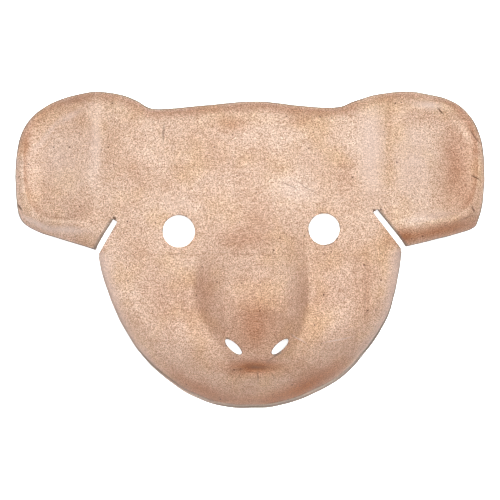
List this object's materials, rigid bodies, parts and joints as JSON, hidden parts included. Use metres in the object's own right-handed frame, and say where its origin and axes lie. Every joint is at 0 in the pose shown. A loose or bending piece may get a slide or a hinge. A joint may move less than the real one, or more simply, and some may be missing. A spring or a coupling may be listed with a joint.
{
  "type": "paper animal mask",
  "caption": "Moulded kraft-paper animal mask with broad dished ears, a rounded muzzle, eye holes, nostrils and a slit below each ear.",
  "frame": {"origin": "centre of the box's footprint, on the surface that the mask lies on", "axes": "+Z out of the face, +Y towards the forehead, +X towards the viewer's right when facing the mask"},
  "size_m": [0.224, 0.1516, 0.0612],
  "materials": {
    "kraft_paper": "raw unpainted layered kraft paper, matt"
  },
  "bodies": {
    "root": {"mask_shell": "kraft_paper"}
  },
  "joints": []
}
